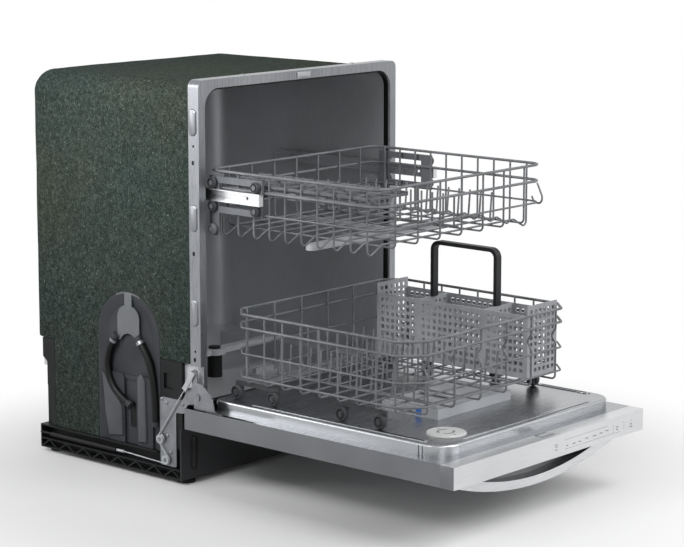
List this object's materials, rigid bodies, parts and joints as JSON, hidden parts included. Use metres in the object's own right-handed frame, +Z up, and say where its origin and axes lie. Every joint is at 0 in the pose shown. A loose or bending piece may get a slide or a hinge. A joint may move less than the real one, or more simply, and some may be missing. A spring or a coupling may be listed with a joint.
{
  "type": "dishwasher",
  "caption": "Built-in dishwasher with a felt-wrapped stainless tub, a door open flat with a bow handle, and wire racks pulled out on wheels and rails.",
  "frame": {"origin": "floor level under the middle of the object with its door open and its racks out", "axes": "+X to the right of someone who faces the door, +Y towards the back of the tub, +Z up"},
  "size_m": [0.606, 1.166, 0.825],
  "materials": {
    "tub_steel": "satin",
    "frame_steel": "satin",
    "door_steel": "satin",
    "zinc": "plated",
    "handle_metal": "brushed",
    "rail_metal": "satin",
    "rack_wire": "nylon coat",
    "motor_metal": "satin",
    "felt": "needled felt",
    "black_rubber": "matt",
    "base_plastic": "moulded",
    "duct_plastic": "moulded",
    "grey_plastic": "moulded",
    "basket_plastic": "moulded",
    "wheel_plastic": "moulded",
    "white_plastic": "gloss",
    "fascia_plastic": "silver",
    "board": "lacquer"
  },
  "bodies": {
    "cabinet": {"tub": "tub_steel", "tub_front_frame": "frame_steel", "tub_gasket": "black_rubber", "insulation_blanket": "felt", "base_tray": "base_plastic", "levelling_feet": "base_plastic", "toe_kick": "base_plastic", "corner_supports": "base_plastic", "water_inlet_duct": "duct_plastic", "inlet_hoses": "black_rubber", "hose_clamps": "zinc", "sump": "base_plastic", "circulation_pump": "motor_metal", "drain_pump": "motor_metal", "inlet_valve": "grey_plastic", "water_conduit": "grey_plastic", "side_vent": "grey_plastic", "hinge_plates": "zinc", "door_cords": "grey_plastic", "door_springs": "black_rubber", "rail_guides": "base_plastic"},
    "filter": {"filter": "grey_plastic"},
    "lower_spray_arm": {"lower_spray_arm": "grey_plastic"},
    "upper_pulleys": {"upper_pulleys": "grey_plastic"},
    "lower_pulleys": {"lower_pulleys": "grey_plastic"},
    "door": {"door_outer_panel": "door_steel", "door_insulation": "felt", "door_inner_liner": "door_steel", "door_bottom_seal": "black_rubber", "control_fascia": "fascia_plastic", "control_board": "board", "bow_handle": "handle_metal", "dispenser_body": "grey_plastic", "hinge_arms": "zinc"},
    "door_latch": {"door_latch": "grey_plastic"},
    "detergent_lid": {"detergent_lid": "grey_plastic"},
    "rinse_aid_cap": {"rinse_aid_cap": "white_plastic"},
    "lower_rack": {"lower_rack_rims": "rack_wire", "lower_rack_wires": "rack_wire", "wheel_carriers": "wheel_plastic", "silverware_basket": "basket_plastic", "basket_handle": "basket_plastic"},
    "lower_fold_tines": {"lower_fold_tines": "rack_wire"},
    "upper_rails": {"upper_rails": "rail_metal"},
    "upper_rack": {"upper_rack_rims": "rack_wire", "upper_rack_wires": "rack_wire", "roller_brackets": "basket_plastic", "upper_feed_tube": "grey_plastic"},
    "upper_fold_tines": {"upper_fold_tines": "rack_wire"},
    "cup_shelf": {"cup_shelf": "basket_plastic"},
    "upper_spray_arm": {"upper_spray_arm": "grey_plastic"},
    "lower_wheels_1": {"lower_wheels_1": "wheel_plastic"},
    "lower_wheels_2": {"lower_wheels_2": "wheel_plastic"},
    "lower_wheels_3": {"lower_wheels_3": "wheel_plastic"},
    "lower_wheels_4": {"lower_wheels_4": "wheel_plastic"},
    "rollers_top_rear": {"rollers_top_rear": "wheel_plastic"},
    "rollers_top_front": {"rollers_top_front": "wheel_plastic"},
    "rollers_low_rear": {"rollers_low_rear": "wheel_plastic"},
    "rollers_low_front": {"rollers_low_front": "wheel_plastic"}
  },
  "joints": [
    {"name": "door_hinge", "type": "hinge", "parent": "cabinet", "child": "door", "pos_m": [0, 0.077, 0.19], "axis": [-1, 0, 0], "range_deg": [-2, 0]},
    {"name": "upper_pulley_spin", "type": "hinge", "parent": "cabinet", "child": "upper_pulleys", "pos_m": [0, 0.1835, 0.088], "axis": [-1, 0, 0], "range_deg": [-390, 390]},
    {"name": "lower_pulley_spin", "type": "hinge", "parent": "cabinet", "child": "lower_pulleys", "pos_m": [0, 0.168, 0.047], "axis": [-1, 0, 0], "range_deg": [-390, 390]},
    {"name": "lower_rack_slide", "type": "slide", "parent": "cabinet", "child": "lower_rack", "axis": [0, 1, 0], "range_m": [0, 0.524]},
    {"name": "upper_rack_slide", "type": "slide", "parent": "cabinet", "child": "upper_rack", "axis": [0, 1, 0], "range_m": [0, 0.466]},
    {"name": "upper_rail_slide", "type": "slide", "parent": "cabinet", "child": "upper_rails", "axis": [0, 1, 0], "range_m": [0, 0.1505]},
    {"name": "lower_arm_spin", "type": "hinge", "parent": "cabinet", "child": "lower_spray_arm", "pos_m": [0, 0.319, 0.203], "axis": [0, 0, 1], "continuous": true},
    {"name": "upper_arm_spin", "type": "hinge", "parent": "upper_rack", "child": "upper_spray_arm", "pos_m": [0, -0.139, 0.506], "axis": [0, 0, 1], "continuous": true},
    {"name": "cup_shelf_fold", "type": "hinge", "parent": "upper_rack", "child": "cup_shelf", "pos_m": [-0.2416, 0.065, 0.622], "axis": [0, -1, 0], "range_deg": [0, 80]},
    {"name": "upper_tines_fold", "type": "hinge", "parent": "upper_rack", "child": "upper_fold_tines", "pos_m": [0.04032, 0.065, 0.53735], "axis": [0, 1, 0], "range_deg": [0, 80]},
    {"name": "lower_tines_fold", "type": "hinge", "parent": "lower_rack", "child": "lower_fold_tines", "pos_m": [-0.07056, 0.065, 0.22935], "axis": [0, 1, 0], "range_deg": [0, 80]},
    {"name": "detergent_lid_slide", "type": "slide", "parent": "door", "child": "detergent_lid", "axis": [1, 0, 0], "range_m": [0, 0.1]},
    {"name": "rinse_cap_turn", "type": "hinge", "parent": "door", "child": "rinse_aid_cap", "pos_m": [-0.186, -0.471, 0.19], "axis": [0, 0, 1], "range_deg": [0, 90]},
    {"name": "filter_turn", "type": "hinge", "parent": "cabinet", "child": "filter", "pos_m": [0.095, 0.261, 0.15], "axis": [0, 0, 1], "range_deg": [0, 90]},
    {"name": "latch_turn", "type": "hinge", "parent": "door", "child": "door_latch", "pos_m": [0, -0.562, 0.157], "axis": [1, 0, 0], "range_deg": [0, 12], "stiffness_Nm_per_rad": 0.5},
    {"name": "lower_wheels_1_spin", "type": "hinge", "parent": "lower_rack", "child": "lower_wheels_1", "pos_m": [0, 0.019, 0.2018], "axis": [1, 0, 0], "continuous": true},
    {"name": "lower_wheels_2_spin", "type": "hinge", "parent": "lower_rack", "child": "lower_wheels_2", "pos_m": [0, -0.079, 0.2018], "axis": [1, 0, 0], "continuous": true},
    {"name": "lower_wheels_3_spin", "type": "hinge", "parent": "lower_rack", "child": "lower_wheels_3", "pos_m": [0, -0.259, 0.2018], "axis": [1, 0, 0], "continuous": true},
    {"name": "lower_wheels_4_spin", "type": "hinge", "parent": "lower_rack", "child": "lower_wheels_4", "pos_m": [0, -0.355, 0.2018], "axis": [1, 0, 0], "continuous": true},
    {"name": "rollers_top_rear_spin", "type": "hinge", "parent": "upper_rack", "child": "rollers_top_rear", "pos_m": [0, 0.059, 0.6223], "axis": [1, 0, 0], "continuous": true},
    {"name": "rollers_top_front_spin", "type": "hinge", "parent": "upper_rack", "child": "rollers_top_front", "pos_m": [0, -0.057, 0.6223], "axis": [1, 0, 0], "continuous": true},
    {"name": "rollers_low_rear_spin", "type": "hinge", "parent": "upper_rack", "child": "rollers_low_rear", "pos_m": [0, 0.059, 0.5757], "axis": [1, 0, 0], "continuous": true},
    {"name": "rollers_low_front_spin", "type": "hinge", "parent": "upper_rack", "child": "rollers_low_front", "pos_m": [0, -0.057, 0.5757], "axis": [1, 0, 0], "continuous": true}
  ],
  "couplings": [
    {"joint": "upper_pulley_spin", "follows": "door_hinge", "ratio": 4.27},
    {"joint": "lower_pulley_spin", "follows": "door_hinge", "ratio": -4.27},
    {"joint": "upper_rail_slide", "follows": "upper_rack_slide", "ratio": 0.3219},
    {"joint": "lower_wheels_1_spin", "follows": "lower_rack_slide", "rad_per_m": -71.429},
    {"joint": "lower_wheels_2_spin", "follows": "lower_rack_slide", "rad_per_m": -71.429},
    {"joint": "lower_wheels_3_spin", "follows": "lower_rack_slide", "rad_per_m": -71.429},
    {"joint": "lower_wheels_4_spin", "follows": "lower_rack_slide", "rad_per_m": -71.429},
    {"joint": "rollers_top_rear_spin", "follows": "upper_rack_slide", "rad_per_m": -61.645},
    {"joint": "rollers_top_front_spin", "follows": "upper_rack_slide", "rad_per_m": -61.645},
    {"joint": "rollers_low_rear_spin", "follows": "upper_rack_slide", "rad_per_m": 61.645},
    {"joint": "rollers_low_front_spin", "follows": "upper_rack_slide", "rad_per_m": 61.645}
  ]
}
